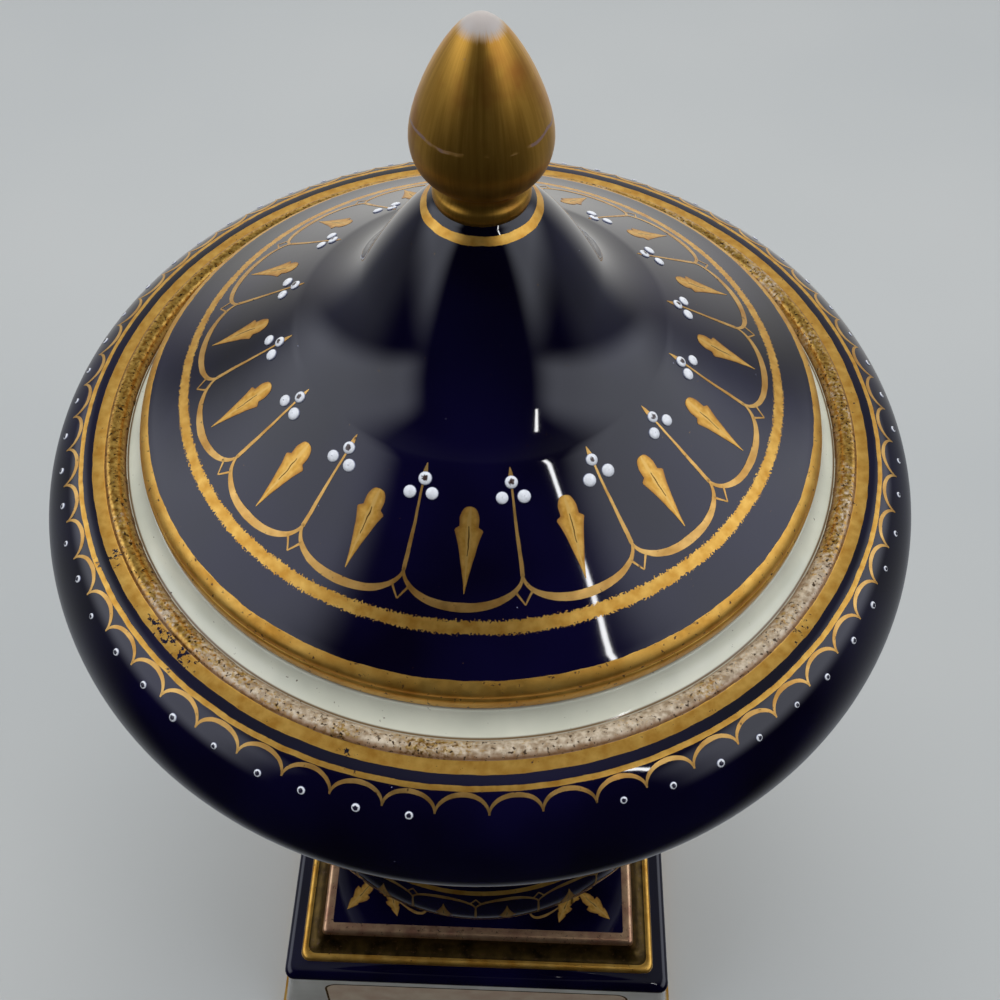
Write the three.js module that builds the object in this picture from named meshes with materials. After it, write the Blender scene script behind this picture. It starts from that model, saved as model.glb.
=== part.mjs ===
// Covered mantel urn of cobalt-glazed porcelain on a square plinth.
// Millimetres, +Z up. The origin is the centre of the plinth's underside.
import * as THREE from 'three';

// ---- Driving dimensions ----

const FACETS = 36;            // flats around each turned piece
const CURVE_STEPS = 4;        // straight runs in each curve of a profile
const REST_GAP = 0.3;         // joint left between two pieces that touch

const PLINTH_HEIGHT = 62.5;   // underside to top panel
const URN_HEIGHT = 270.2;     // foot's underside to the plane of the gilt rim band
const RIM_Z = PLINTH_HEIGHT + REST_GAP + URN_HEIGHT;

// Heights below are measured from the rim plane, in the urn's and the lid's own frames.
const BAND_RADIUS = 95;       // outer edge of the gilt rim band, where the shoulder starts to roll
const SHOULDER_RADIUS = 110.4;
const SHOULDER_Z = -20.9;
const GROOVE_RADIUS = 87.4;   // thin groove between the white ledge and the bead
const SEAT_RADIUS = 82.6;     // outer edge of the flat seat that carries the lid
const SEAT_Z = 2.5;
const MOUTH_RADIUS = 76.3;
const BEAD_RADIUS = 92.1;     // outer edge of the gilt bead beside the rim band
const CURL_RADIUS = 19.2;     // roll of the shoulder under its widest point
const WAIST_RADIUS = 64.6;    // where the bell meets the bulb
const WAIST_Z = -156;
const BULB_RADIUS = 78.3;
const BULB_Z = -183;
const BULB_BOTTOM_Z = -226.5;
const KNOP_HEIGHT = 6.4;      // ring between the bulb and the stem
const STEM_RADIUS = 22;
const FOOT_RADIUS = 50.5;
const FOOT_EDGE_HEIGHT = 5.2;
const WALL = 4.4;

const LID_EDGE_RADIUS = 82.4;
const LID_WALL = 4;
const FLANGE_RADIUS = 75.3;   // lid's locating flange, inside the mouth
const FLANGE_DEPTH = 7;
const FLANGE_THICKNESS = 3.5;
const LID_CREASE_Z = 6.8;     // crease between the lid's upright lip and its sloping gilt edge
const COLLAR_RADIUS = 9.6;
const COLLAR_Z = 65.4;        // where the finial's collar meets the lid
const BUD_RADIUS = 13.9;
const BUD_Z = 79.3;
const TIP_Z = 103.3;

const PANEL_HALF = 62;        // half width of the plinth's flat top panel
const SLAB_HALF = 82.3;
const SLAB_THICKNESS = 7.8;
const SLAB_TOP_Z = 51.6;
const DIE_HALF = 81.6;        // half width of the plinth's block, just under the slab
const BASE_HALF = 88.5;
const BASE_BAND_HEIGHT = 7.5;
const PLINTH_WALL = 6;

// ---- Shared helpers ----

function porcelain(colour) {
  return new THREE.MeshStandardMaterial({ color: colour, roughness: 0.12, metalness: 0 });
}

// A closed profile of (radius, height) points turned about the vertical axis.
function turned(name, profile, colour) {
  const geometry = new THREE.LatheGeometry(profile.getPoints(CURVE_STEPS), FACETS);
  geometry.rotateX(Math.PI / 2);
  const mesh = new THREE.Mesh(geometry, porcelain(colour));
  mesh.name = name;
  return mesh;
}

// The same profile carried round a square plan with rounded corners:
// each ring of the turned form is pushed out to four short corner arcs.
function squareTurned(name, profile, cornerRadius, colour) {
  const arcSteps = 3;
  const columns = 4 * (arcSteps + 1);
  const points = profile.getPoints(CURVE_STEPS);
  const geometry = new THREE.LatheGeometry(points, columns);
  const position = geometry.attributes.position;
  for (let column = 0; column <= columns; column += 1) {
    const corner = Math.floor((column % columns) / (arcSteps + 1));
    const step = (column % columns) % (arcSteps + 1);
    const middle = (corner + 0.5) * Math.PI / 2;
    const turn = (corner + step / arcSteps) * Math.PI / 2;
    points.forEach((point, row) => {
      const radius = Math.min(cornerRadius(point.x), point.x);
      const centre = point.x - radius;
      const x = Math.sign(Math.sin(middle)) * centre + radius * Math.sin(turn);
      const z = Math.sign(Math.cos(middle)) * centre + radius * Math.cos(turn);
      position.setXYZ(column * points.length + row, x, point.y, z);
    });
  }
  geometry.rotateX(Math.PI / 2);
  const mesh = new THREE.Mesh(geometry, porcelain(colour));
  mesh.name = name;
  return mesh;
}

// ---- Lid: hollow shell, gilt edge, locating flange, collar and bud finial in one ----

function lidProfile() {
  const flangeInner = FLANGE_RADIUS - FLANGE_THICKNESS;
  const underside = SEAT_Z + REST_GAP;
  const profile = new THREE.Path();
  // underside of the shell, from below the finial out to the flange
  profile.moveTo(0, COLLAR_Z - 6);
  profile.bezierCurveTo(10, COLLAR_Z - 6, 17.5, 51, 22, 42.6);
  profile.bezierCurveTo(26, 35, 32, 30.2, 39.5, 27.2);
  profile.bezierCurveTo(49, 22.4, 63, 12.6, flangeInner, 12 - LID_WALL);
  // locating flange and the flat that rests on the urn's seat
  profile.lineTo(flangeInner, underside - FLANGE_DEPTH);
  profile.lineTo(FLANGE_RADIUS, underside - FLANGE_DEPTH);
  profile.lineTo(FLANGE_RADIUS, underside);
  profile.lineTo(LID_EDGE_RADIUS, underside);
  // upright lip, crease and sloping gilt edge
  profile.lineTo(LID_EDGE_RADIUS, LID_CREASE_Z);
  profile.quadraticCurveTo(81.6, 8.9, 79.5, 9.8);
  // skirt, cove and small dome that carries the finial
  profile.bezierCurveTo(68, 15.2, 52, 25.6, 42, 31.6);
  profile.bezierCurveTo(36.5, 34.1, 30.5, 37.4, 26, 44.8);
  profile.bezierCurveTo(22, 51.4, 15, 61.6, COLLAR_RADIUS, COLLAR_Z);
  // collar: lower ring, short cove, thin upper ring
  profile.quadraticCurveTo(COLLAR_RADIUS + 0.7, COLLAR_Z + 1.4, COLLAR_RADIUS, COLLAR_Z + 2.6);
  profile.quadraticCurveTo(COLLAR_RADIUS - 1.2, COLLAR_Z + 4, COLLAR_RADIUS - 0.5, COLLAR_Z + 5.4);
  profile.lineTo(COLLAR_RADIUS + 0.1, COLLAR_Z + 6);
  // bud, widest low down and drawn in to a soft point
  profile.bezierCurveTo(12.5, COLLAR_Z + 6.8, BUD_RADIUS, BUD_Z - 3.2, BUD_RADIUS, BUD_Z);
  profile.bezierCurveTo(BUD_RADIUS, BUD_Z + 7.2, 5.4, TIP_Z, 0, TIP_Z);
  return profile;
}

function makeLid() {
  const lid = turned('lid', lidProfile(), 0x1a1850);
  lid.position.z = RIM_Z;
  return lid;
}

// ---- Urn: foot, stem, bulb, bell, rolled shoulder and ledged mouth, open all through ----

function urnProfile() {
  const underside = -URN_HEIGHT;
  const shoulderWidth = SHOULDER_RADIUS - BAND_RADIUS;
  const curlCentre = SHOULDER_RADIUS - CURL_RADIUS;
  const curlBottom = SHOULDER_Z - CURL_RADIUS;
  const floor = BULB_BOTTOM_Z + 7;
  const knopBottom = BULB_BOTTOM_Z - KNOP_HEIGHT;
  const profile = new THREE.Path();
  // foot and its cavetto up to the stem
  profile.moveTo(0, underside);
  profile.lineTo(FOOT_RADIUS, underside);
  profile.lineTo(FOOT_RADIUS, underside + FOOT_EDGE_HEIGHT);
  profile.quadraticCurveTo(FOOT_RADIUS, underside + 8.6, FOOT_RADIUS - 4, underside + 8.8);
  profile.bezierCurveTo(30, underside + 11, STEM_RADIUS - 1, underside + 22, STEM_RADIUS, knopBottom);
  // knop ring under the bulb
  profile.bezierCurveTo(30, knopBottom, 30, BULB_BOTTOM_Z, STEM_RADIUS + 2.5, BULB_BOTTOM_Z);
  // bulb
  profile.bezierCurveTo(52, BULB_BOTTOM_Z + 5, BULB_RADIUS, -208, BULB_RADIUS, BULB_Z);
  profile.bezierCurveTo(BULB_RADIUS, -170, 73, -160.5, WAIST_RADIUS, WAIST_Z);
  // bell, flaring under the rolled lip
  profile.bezierCurveTo(61.5, -126, 64, -90, 70.5, -64);
  profile.bezierCurveTo(74.5, -48, 81, curlBottom, curlCentre, curlBottom);
  // rolled shoulder
  profile.bezierCurveTo(curlCentre + 11, curlBottom, SHOULDER_RADIUS, -31.5, SHOULDER_RADIUS, SHOULDER_Z);
  profile.bezierCurveTo(
    SHOULDER_RADIUS, SHOULDER_Z * 0.45, BAND_RADIUS + shoulderWidth * 0.55, 0, BAND_RADIUS, 0,
  );
  // gilt band, bead, groove, white ledge and the seat of the lid
  profile.lineTo(BEAD_RADIUS, 0.1);
  profile.bezierCurveTo(91.8, 1.9, 87.8, 1.6, GROOVE_RADIUS, -1.5);
  profile.quadraticCurveTo(84.6, -0.6, SEAT_RADIUS, SEAT_Z);
  profile.lineTo(MOUTH_RADIUS, SEAT_Z);
  // inside of the wall, down to the floor of the bulb
  profile.lineTo(MOUTH_RADIUS, -3);
  profile.bezierCurveTo(96, -WALL, SHOULDER_RADIUS - WALL, -9, SHOULDER_RADIUS - WALL, SHOULDER_Z);
  profile.bezierCurveTo(SHOULDER_RADIUS - WALL, -29, 98, curlBottom + WALL, curlCentre, curlBottom + WALL);
  profile.bezierCurveTo(79, curlBottom + WALL, 70.5, -46, 66.2, -64.5);
  profile.bezierCurveTo(59.6, -91, 57.2, -126, WAIST_RADIUS - WALL, WAIST_Z);
  profile.bezierCurveTo(69, -162, BULB_RADIUS - WALL, -170, BULB_RADIUS - WALL, BULB_Z);
  profile.bezierCurveTo(BULB_RADIUS - WALL, -206, 42, floor, 0, floor);
  return profile;
}

function makeUrn() {
  const urn = turned('urn_body', urnProfile(), 0x16154a);
  urn.position.z = RIM_Z;
  return urn;
}

// ---- Plinth: flared square block, rounded slab and stepped top, open underneath ----

function plinthProfile() {
  const slabBottom = SLAB_TOP_Z - SLAB_THICKNESS;
  const noseRadius = SLAB_THICKNESS / 2;
  const noseCentre = SLAB_HALF - noseRadius;
  const profile = new THREE.Path();
  // hollow underside
  profile.moveTo(0, PLINTH_HEIGHT - PLINTH_WALL);
  profile.lineTo(PANEL_HALF - PLINTH_WALL, PLINTH_HEIGHT - PLINTH_WALL);
  profile.lineTo(64, 47);
  profile.lineTo(DIE_HALF - PLINTH_WALL, slabBottom);
  profile.lineTo(BASE_HALF - 1.4 * PLINTH_WALL, 0);
  // base band and flared block
  profile.lineTo(BASE_HALF, 0);
  profile.lineTo(BASE_HALF, BASE_BAND_HEIGHT);
  profile.lineTo(BASE_HALF - 1.4, BASE_BAND_HEIGHT + 1.2);
  profile.quadraticCurveTo(83.6, 27, DIE_HALF, slabBottom - 0.6);
  // slab with a rounded nose
  profile.lineTo(noseCentre + 1.6, slabBottom);
  profile.quadraticCurveTo(SLAB_HALF, slabBottom, SLAB_HALF, SLAB_TOP_Z - noseRadius);
  profile.quadraticCurveTo(SLAB_HALF, SLAB_TOP_Z, noseCentre, SLAB_TOP_Z);
  // gilt roll, cavetto and chamfer up to the flat panel
  profile.lineTo(75.5, SLAB_TOP_Z);
  profile.quadraticCurveTo(75.5, SLAB_TOP_Z + 1.8, 72.7, SLAB_TOP_Z + 1.8);
  profile.quadraticCurveTo(67.2, SLAB_TOP_Z + 2.6, 66.5, PLINTH_HEIGHT - 1.4);
  profile.lineTo(64.8, PLINTH_HEIGHT);
  profile.lineTo(0, PLINTH_HEIGHT);
  return profile;
}

function makePlinth() {
  const cornerRadius = (half) => Math.min(4, Math.max(0.8, 0.8 + 0.25 * (half - PANEL_HALF)));
  return squareTurned('plinth', plinthProfile(), cornerRadius, 0x1b1b52);
}

// ---- Assembly ----

const mantelUrn = new THREE.Group();
mantelUrn.add(makePlinth(), makeUrn(), makeLid());

export default mantelUrn;
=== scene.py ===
"""Covered mantel urn of cobalt-glazed, gilt and enamelled porcelain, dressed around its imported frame.

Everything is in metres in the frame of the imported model; outlines are drawn in millimetres.
"""
import math
import random

import bpy
from mathutils import Matrix, Vector, noise
from mathutils.geometry import interpolate_bezier


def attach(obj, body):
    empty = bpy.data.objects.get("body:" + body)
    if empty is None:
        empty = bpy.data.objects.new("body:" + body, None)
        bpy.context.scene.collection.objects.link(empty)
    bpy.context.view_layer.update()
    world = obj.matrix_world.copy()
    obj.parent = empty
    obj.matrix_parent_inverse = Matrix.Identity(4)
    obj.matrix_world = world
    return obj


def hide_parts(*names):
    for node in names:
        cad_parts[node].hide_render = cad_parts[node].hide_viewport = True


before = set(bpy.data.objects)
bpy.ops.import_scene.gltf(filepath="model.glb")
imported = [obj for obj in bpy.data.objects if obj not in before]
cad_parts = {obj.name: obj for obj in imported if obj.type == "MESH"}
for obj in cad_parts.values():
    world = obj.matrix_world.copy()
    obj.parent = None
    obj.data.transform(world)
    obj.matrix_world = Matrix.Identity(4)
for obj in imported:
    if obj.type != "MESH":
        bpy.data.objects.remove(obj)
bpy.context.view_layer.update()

MM = 0.001


# ---- Plinth ----
# A square stepped plinth, pressed in one piece of porcelain and hollow underneath. The top panel
# and the slab are cobalt, the mouldings between them are gilt, and the flared block below is
# white with one framed reserve on each side. The urn is fixed on the panel through its foot.

PANEL_HALF = 62.0
PANEL_TOP = 62.5
SLAB_TOP = 51.6
SLAB_BOTTOM = 43.8
SLAB_HALF = 82.3
BLOCK_HALF = 81.6
BASE_HALF = 88.5


def outline(start, *runs, steps=10):
    """Points of a turned outline, (radius, height) in millimetres: a run is a straight end point,
    or the one or two handles of a curve and then its end point."""
    points = [Vector((start[0], 0, start[1])) * MM]
    for run in runs:
        knots = [Vector((run[i], 0, run[i + 1])) * MM for i in range(0, len(run), 2)]
        here, there = points[-1], knots[-1]
        if len(knots) == 1:
            points.append(there)
            continue
        handle_out, handle_in = knots[0], knots[1]
        if len(knots) == 2:
            handle_out, handle_in = here.lerp(knots[0], 2 / 3), there.lerp(knots[0], 2 / 3)
        points.extend(interpolate_bezier(here, handle_out, handle_in, there, steps + 1)[1:])
    return points


def turned(name, stretches, facets):
    """Turns stretches of outline about the vertical axis, each in its own finish, and joins them."""
    bpy.ops.object.select_all(action="DESELECT")
    bands = []
    for finish, points in stretches:
        bpy.ops.mesh.primitive_plane_add(size=MM, location=(0, 0, 0))
        band = bpy.context.object
        band.data.materials.append(finish)
        bpy.ops.object.mode_set(mode="EDIT")
        bpy.ops.mesh.merge(type="CENTER")
        bpy.ops.transform.translate(value=points[0])
        for here, there in zip(points, points[1:]):
            bpy.ops.mesh.extrude_vertices_move(TRANSFORM_OT_translate={"value": there - here})
        bpy.ops.mesh.select_all(action="SELECT")
        bpy.ops.mesh.spin(steps=facets, angle=math.tau, center=(0, 0, 0), axis=(0, 0, 1))
        bpy.ops.object.mode_set(mode="OBJECT")
        bands.append(band)
    piece = joined(name, bands)
    bpy.ops.object.mode_set(mode="EDIT")
    bpy.ops.mesh.select_all(action="SELECT")
    bpy.ops.mesh.remove_doubles(threshold=0.01 * MM)
    bpy.ops.mesh.normals_make_consistent(inside=False)
    bpy.ops.object.mode_set(mode="OBJECT")
    return piece


def joined(name, parts):
    """Makes one named piece of several, with its place in its mesh."""
    bpy.ops.object.select_all(action="DESELECT")
    for part in parts:
        part.select_set(True)
    bpy.context.view_layer.objects.active = parts[0]
    bpy.ops.object.join()
    bpy.ops.object.transform_apply(location=True, rotation=True, scale=True)
    parts[0].name = name
    return parts[0]


def soften(piece, radius, angle):
    """Rounds the arrises as glaze does, and shades the rest smooth."""
    bevel = piece.modifiers.new("arris", "BEVEL")
    bevel.width = radius * MM
    bevel.segments = 3
    bevel.limit_method = "ANGLE"
    bevel.angle_limit = math.radians(angle)
    bpy.ops.object.modifier_apply(modifier=bevel.name)
    bpy.ops.object.shade_smooth_by_angle(angle=math.radians(40))


def linear(code):
    """A linear colour from an sRGB hex code."""
    parts = [int(code[i:i + 2], 16) / 255 for i in (1, 3, 5)]
    return [p / 12.92 if p <= 0.04045 else ((p + 0.055) / 1.055) ** 2.4 for p in parts] + [1.0]


def new_finish(name):
    """An empty finish: its node tree, its shader and the piece's own coordinates."""
    material = bpy.data.materials.new(name)
    material.use_nodes = True
    tree = material.node_tree
    place = add_node(tree, "ShaderNodeTexCoord").outputs["Object"]
    return material, tree, tree.nodes["Principled BSDF"], place


def add_node(tree, kind, inputs=None, **settings):
    """Adds a node with its own settings; an input is a value or another node's output."""
    made = tree.nodes.new(kind)
    for setting, value in settings.items():
        setattr(made, setting, value)
    for socket, value in (inputs or {}).items():
        if isinstance(value, bpy.types.NodeSocket):
            tree.links.new(value, made.inputs[socket])
        else:
            made.inputs[socket].default_value = value
    return made


def drifting(tree, place, size, low, high, detail=2.0):
    """A cloudy factor from 0 to 1 whose clouds are size millimetres wide."""
    cloud = add_node(tree, "ShaderNodeTexNoise",
                     {"Vector": place, "Scale": 1 / (size * MM), "Detail": detail})
    spread = add_node(tree, "ShaderNodeMapRange",
                      {"Value": cloud.outputs["Fac"], "From Min": low, "From Max": high})
    return spread.outputs["Result"]


def blended(tree, factor, first, second):
    """Two colours mixed by a factor; a colour is a hex code or another node's output."""
    ends = [linear(c) if isinstance(c, str) else c for c in (first, second)]
    mix = add_node(tree, "ShaderNodeMix", {0: factor, 6: ends[0], 7: ends[1]}, data_type="RGBA")
    return mix.outputs[2]


GLAZE_IOR = 1.52
GOLD_LIGHT = "#e8b95c"
GOLD_DEEP = "#c78f36"


def cobalt_glaze(name, rings=(), wear=()):
    """Cobalt oxide under a clear glaze: near black until light falls in it, with a faint ripple,
    pinholes and dust. Rings are banded on in gold, (inner radius, outer radius, raggedness) in
    mm: 0.3 is a clean brush, 1.8 a dabbing sponge. wear is where gold has rubbed off, (x, y, reach)."""
    material, tree, shader, place = new_finish(name)
    colour = blended(tree, drifting(tree, place, 35, 0.35, 0.65), "#040212", "#090624")
    dust = add_node(tree, "ShaderNodeTexVoronoi", {"Vector": place, "Scale": 1 / (9 * MM)})
    speck = add_node(tree, "ShaderNodeMath", {0: dust.outputs["Distance"], 1: 0.014},
                     operation="LESS_THAN")
    colour = blended(tree, speck.outputs[0], colour, "#8c90a6")
    flat = add_node(tree, "ShaderNodeVectorMath", {0: place, 1: (1, 1, 0)}, operation="MULTIPLY")
    radius = add_node(tree, "ShaderNodeVectorMath", {0: flat.outputs[0]}, operation="LENGTH")
    wobble = add_node(tree, "ShaderNodeTexNoise",
                      {"Vector": place, "Scale": 1 / (5 * MM), "Detail": 3.0})
    crumb = add_node(tree, "ShaderNodeTexNoise",
                     {"Vector": place, "Scale": 1 / (0.45 * MM), "Detail": 4.0})
    gilt = 0.0
    for inner, outer, ragged in rings:
        half = (outer - inner) / 2 * MM
        drift = add_node(tree, "ShaderNodeMath",
                         {0: wobble.outputs["Fac"], 1: 0.55 * MM, 2: radius.outputs["Value"]},
                         operation="MULTIPLY_ADD")
        middle = (inner + outer + 0.55) / 2 * MM
        off = add_node(tree, "ShaderNodeMath", {0: drift.outputs[0], 1: middle},
                       operation="SUBTRACT")
        off = add_node(tree, "ShaderNodeMath", {0: off.outputs[0]}, operation="ABSOLUTE")
        cover = add_node(tree, "ShaderNodeMapRange",
                         {"Value": off.outputs[0], "From Min": half * (1 + 0.25 * ragged),
                          "From Max": half * (1 - 0.25 * ragged)})
        dabbed = add_node(tree, "ShaderNodeMath",
                          {0: crumb.outputs["Fac"], 1: ragged, 2: cover.outputs["Result"]},
                          operation="MULTIPLY_ADD")
        ring = add_node(tree, "ShaderNodeMath", {0: dabbed.outputs[0], 1: (1 + ragged) / 2},
                        operation="GREATER_THAN")
        gilt = add_node(tree, "ShaderNodeMath", {0: gilt, 1: ring.outputs[0]},
                        operation="MAXIMUM").outputs[0]
    if wear:
        rub = add_node(tree, "ShaderNodeTexNoise",
                       {"Vector": place, "Scale": 1 / (1.6 * MM), "Detail": 5.0,
                        "Roughness": 0.7}).outputs["Fac"]
        for x, y, reach in wear:
            away = add_node(tree, "ShaderNodeVectorMath", {0: flat.outputs[0], 1: (x * MM, y * MM, 0)},
                            operation="DISTANCE")
            near = add_node(tree, "ShaderNodeMapRange",
                            {"Value": away.outputs["Value"], "From Min": reach * MM,
                             "From Max": 0.0, "To Max": 0.19})
            rub = add_node(tree, "ShaderNodeMath", {0: rub, 1: near.outputs["Result"]},
                           operation="ADD").outputs[0]
        kept = add_node(tree, "ShaderNodeMath", {0: rub, 1: 0.68}, operation="LESS_THAN")
        gilt = add_node(tree, "ShaderNodeMath", {0: gilt, 1: kept.outputs[0]},
                        operation="MULTIPLY").outputs[0]
    ripple = add_node(tree, "ShaderNodeTexNoise",
                      {"Vector": place, "Scale": 1 / (7 * MM), "Detail": 1.0})
    bump = add_node(tree, "ShaderNodeBump",
                    {"Strength": 0.12, "Distance": 0.12 * MM, "Height": ripple.outputs["Fac"]})
    tree.links.new(bump.outputs["Normal"], shader.inputs["Normal"])
    if rings:
        gold = blended(tree, drifting(tree, place, 2.5, 0.3, 0.7, 4.0), GOLD_DEEP, GOLD_LIGHT)
        colour = blended(tree, gilt, colour, gold)
        metal = add_node(tree, "ShaderNodeMath", {0: gilt, 1: 0.88}, operation="MULTIPLY")
        tree.links.new(metal.outputs[0], shader.inputs["Metallic"])
        gloss = add_node(tree, "ShaderNodeMapRange", {"Value": gilt, "To Min": 0.045, "To Max": 0.38})
        tree.links.new(gloss.outputs["Result"], shader.inputs["Roughness"])
    else:
        shader.inputs["Roughness"].default_value = 0.045
    tree.links.new(colour, shader.inputs["Base Color"])
    shader.inputs["IOR"].default_value = GLAZE_IOR
    return material


def gilding(name, light, deep, roughness, worn=0.0):
    """Brushed-on fired gold, burnished with a stone: streaks of tone and small dark pits.
    worn is the share rubbed through to brown ground, most of it in patches."""
    material, tree, shader, place = new_finish(name)
    colour = blended(tree, drifting(tree, place, 6, 0.3, 0.7, 5.0), deep, light)
    pits = drifting(tree, place, 1.1, 0.66 - worn, 0.72 - worn, 5.0)
    colour = blended(tree, pits, colour, "#4a2f10")
    tree.links.new(colour, shader.inputs["Base Color"])
    gloss = add_node(tree, "ShaderNodeMapRange",
                     {"Value": drifting(tree, place, 1.8, 0.3, 0.7, 4.0),
                      "To Min": roughness * 0.8, "To Max": roughness * 1.25})
    tree.links.new(gloss.outputs["Result"], shader.inputs["Roughness"])
    metal = add_node(tree, "ShaderNodeMapRange", {"Value": pits, "To Min": 0.88, "To Max": 0.3})
    tree.links.new(metal.outputs["Result"], shader.inputs["Metallic"])
    grain = add_node(tree, "ShaderNodeTexNoise",
                     {"Vector": place, "Scale": 1 / (0.6 * MM), "Detail": 3.0})
    bump = add_node(tree, "ShaderNodeBump",
                    {"Strength": 0.25, "Distance": 0.05 * MM, "Height": grain.outputs["Fac"]})
    tree.links.new(bump.outputs["Normal"], shader.inputs["Normal"])
    return material


def white_glaze(name, light, deep, speck_share, line_radius=0.0):
    """Clear glaze over white body: a cool cream with grey drifts, dark kiln specks and, where a
    radius in millimetres is given, a thin brown line along it."""
    material, tree, shader, place = new_finish(name)
    colour = blended(tree, drifting(tree, place, 14, 0.3, 0.7, 3.0), light, deep)
    if line_radius:
        flat = add_node(tree, "ShaderNodeVectorMath", {0: place, 1: (1, 1, 0)},
                        operation="MULTIPLY")
        radius = add_node(tree, "ShaderNodeVectorMath", {0: flat.outputs[0]}, operation="LENGTH")
        off_line = add_node(tree, "ShaderNodeMath",
                            {0: radius.outputs["Value"], 1: line_radius * MM},
                            operation="SUBTRACT")
        off_line = add_node(tree, "ShaderNodeMath", {0: off_line.outputs[0]},
                            operation="ABSOLUTE")
        line = add_node(tree, "ShaderNodeMapRange",
                        {"Value": off_line.outputs[0], "From Min": 0.4 * MM, "From Max": 0.1 * MM})
        colour = blended(tree, line.outputs["Result"], colour, "#6e5a40")
    specks = drifting(tree, place, 0.9, 0.72 - speck_share, 0.76 - speck_share, 4.0)
    where = drifting(tree, place, 12, 0.42, 0.6, 2.0)
    dark = add_node(tree, "ShaderNodeMath", {0: specks, 1: where}, operation="MULTIPLY")
    colour = blended(tree, dark.outputs[0], colour, "#4b3a26")
    tree.links.new(colour, shader.inputs["Base Color"])
    shader.inputs["Roughness"].default_value = 0.1
    shader.inputs["IOR"].default_value = GLAZE_IOR
    ripple = add_node(tree, "ShaderNodeTexNoise", {"Vector": place, "Scale": 1 / (6 * MM)})
    bump = add_node(tree, "ShaderNodeBump",
                    {"Strength": 0.1, "Distance": 0.1 * MM, "Height": ripple.outputs["Fac"]})
    tree.links.new(bump.outputs["Normal"], shader.inputs["Normal"])
    return material


def bisque(name):
    """Unglazed body where the piece stood in the kiln: matt, warm and a little sandy."""
    material, tree, shader, place = new_finish(name)
    tree.links.new(blended(tree, drifting(tree, place, 3, 0.3, 0.7, 5.0), "#cfc6b4", "#b5a890"),
                   shader.inputs["Base Color"])
    shader.inputs["Roughness"].default_value = 0.75
    sand = add_node(tree, "ShaderNodeTexNoise",
                    {"Vector": place, "Scale": 1 / (0.5 * MM), "Detail": 4.0})
    bump = add_node(tree, "ShaderNodeBump",
                    {"Strength": 0.4, "Distance": 0.1 * MM, "Height": sand.outputs["Fac"]})
    tree.links.new(bump.outputs["Normal"], shader.inputs["Normal"])
    return material


def square_plan(piece, arc_steps, side_stations, corner_radius):
    """Carries a turned form round a square plan: its rings become rounded squares."""
    stations = arc_steps + 1 + len(side_stations)
    column_angle = math.tau / (4 * stations)
    for vertex in piece.data.vertices:
        half = math.hypot(vertex.co.x, vertex.co.y)
        if half < 0.001 * MM:
            continue
        column = round(math.atan2(vertex.co.y, vertex.co.x) / column_angle) % (4 * stations)
        corner, station = divmod(column, stations)
        radius = min(corner_radius(half / MM) * MM, half)
        turn = (corner + min(station, arc_steps) / arc_steps) * math.pi / 2
        corner_sign = [Vector((1, 1)), Vector((-1, 1)), Vector((-1, -1)), Vector((1, -1))]
        place = corner_sign[corner] * (half - radius)
        place += radius * Vector((math.cos(turn), math.sin(turn)))
        if station > arc_steps:
            following = corner_sign[(corner + 1) % 4] * (half - radius)
            following += radius * Vector((math.cos(turn), math.sin(turn)))
            place = place.lerp(following, side_stations[station - arc_steps - 1])
        vertex.co.x, vertex.co.y = place


def block_glaze(name):
    """White glaze of the flared block, with a reserve framed by a thin brown-gold line on each
    side and rubbed with a warm pale tint inside the frame."""
    material, tree, shader, place = new_finish(name)
    axes = add_node(tree, "ShaderNodeSeparateXYZ", {"Vector": place})
    sides = [add_node(tree, "ShaderNodeMath", {0: axes.outputs[axis]}, operation="ABSOLUTE")
             for axis in ("X", "Y")]
    across = add_node(tree, "ShaderNodeMath", {0: sides[0].outputs[0], 1: sides[1].outputs[0]},
                      operation="MINIMUM")
    frame_half, frame_bottom, frame_top, corner, line = 66, 12.5, 38.5, 6, 0.5
    height = add_node(tree, "ShaderNodeMath",
                      {0: axes.outputs["Z"], 1: (frame_bottom + frame_top) / 2 * MM},
                      operation="SUBTRACT")
    rise = add_node(tree, "ShaderNodeMath", {0: height.outputs[0]}, operation="ABSOLUTE")
    past = []
    for value, half in ((across, frame_half), (rise, (frame_top - frame_bottom) / 2)):
        over = add_node(tree, "ShaderNodeMath",
                        {0: value.outputs[0], 1: (half - corner) * MM}, operation="SUBTRACT")
        past.append(add_node(tree, "ShaderNodeMath", {0: over.outputs[0], 1: 0.0},
                             operation="MAXIMUM").outputs[0])
    square = add_node(tree, "ShaderNodeCombineXYZ", {"X": past[0], "Y": past[1]})
    reach = add_node(tree, "ShaderNodeVectorMath", {0: square.outputs[0]}, operation="LENGTH")
    inside = add_node(tree, "ShaderNodeMath", {0: reach.outputs["Value"], 1: corner * MM},
                      operation="LESS_THAN")
    edge = add_node(tree, "ShaderNodeMath",
                    {0: reach.outputs["Value"], 1: corner * MM, 2: line * MM},
                    operation="COMPARE")
    ground = blended(tree, drifting(tree, place, 20, 0.3, 0.7), "#c9c8c0", "#b3b1a8")
    tint = blended(tree, drifting(tree, place, 9, 0.3, 0.7, 4.0), "#cdbba2", "#bfa68f")
    colour = blended(tree, inside.outputs[0], ground, tint)
    colour = blended(tree, edge.outputs[0], colour, "#5b4526")
    tree.links.new(colour, shader.inputs["Base Color"])
    shader.inputs["Roughness"].default_value = 0.12
    shader.inputs["IOR"].default_value = GLAZE_IOR
    return material


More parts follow.
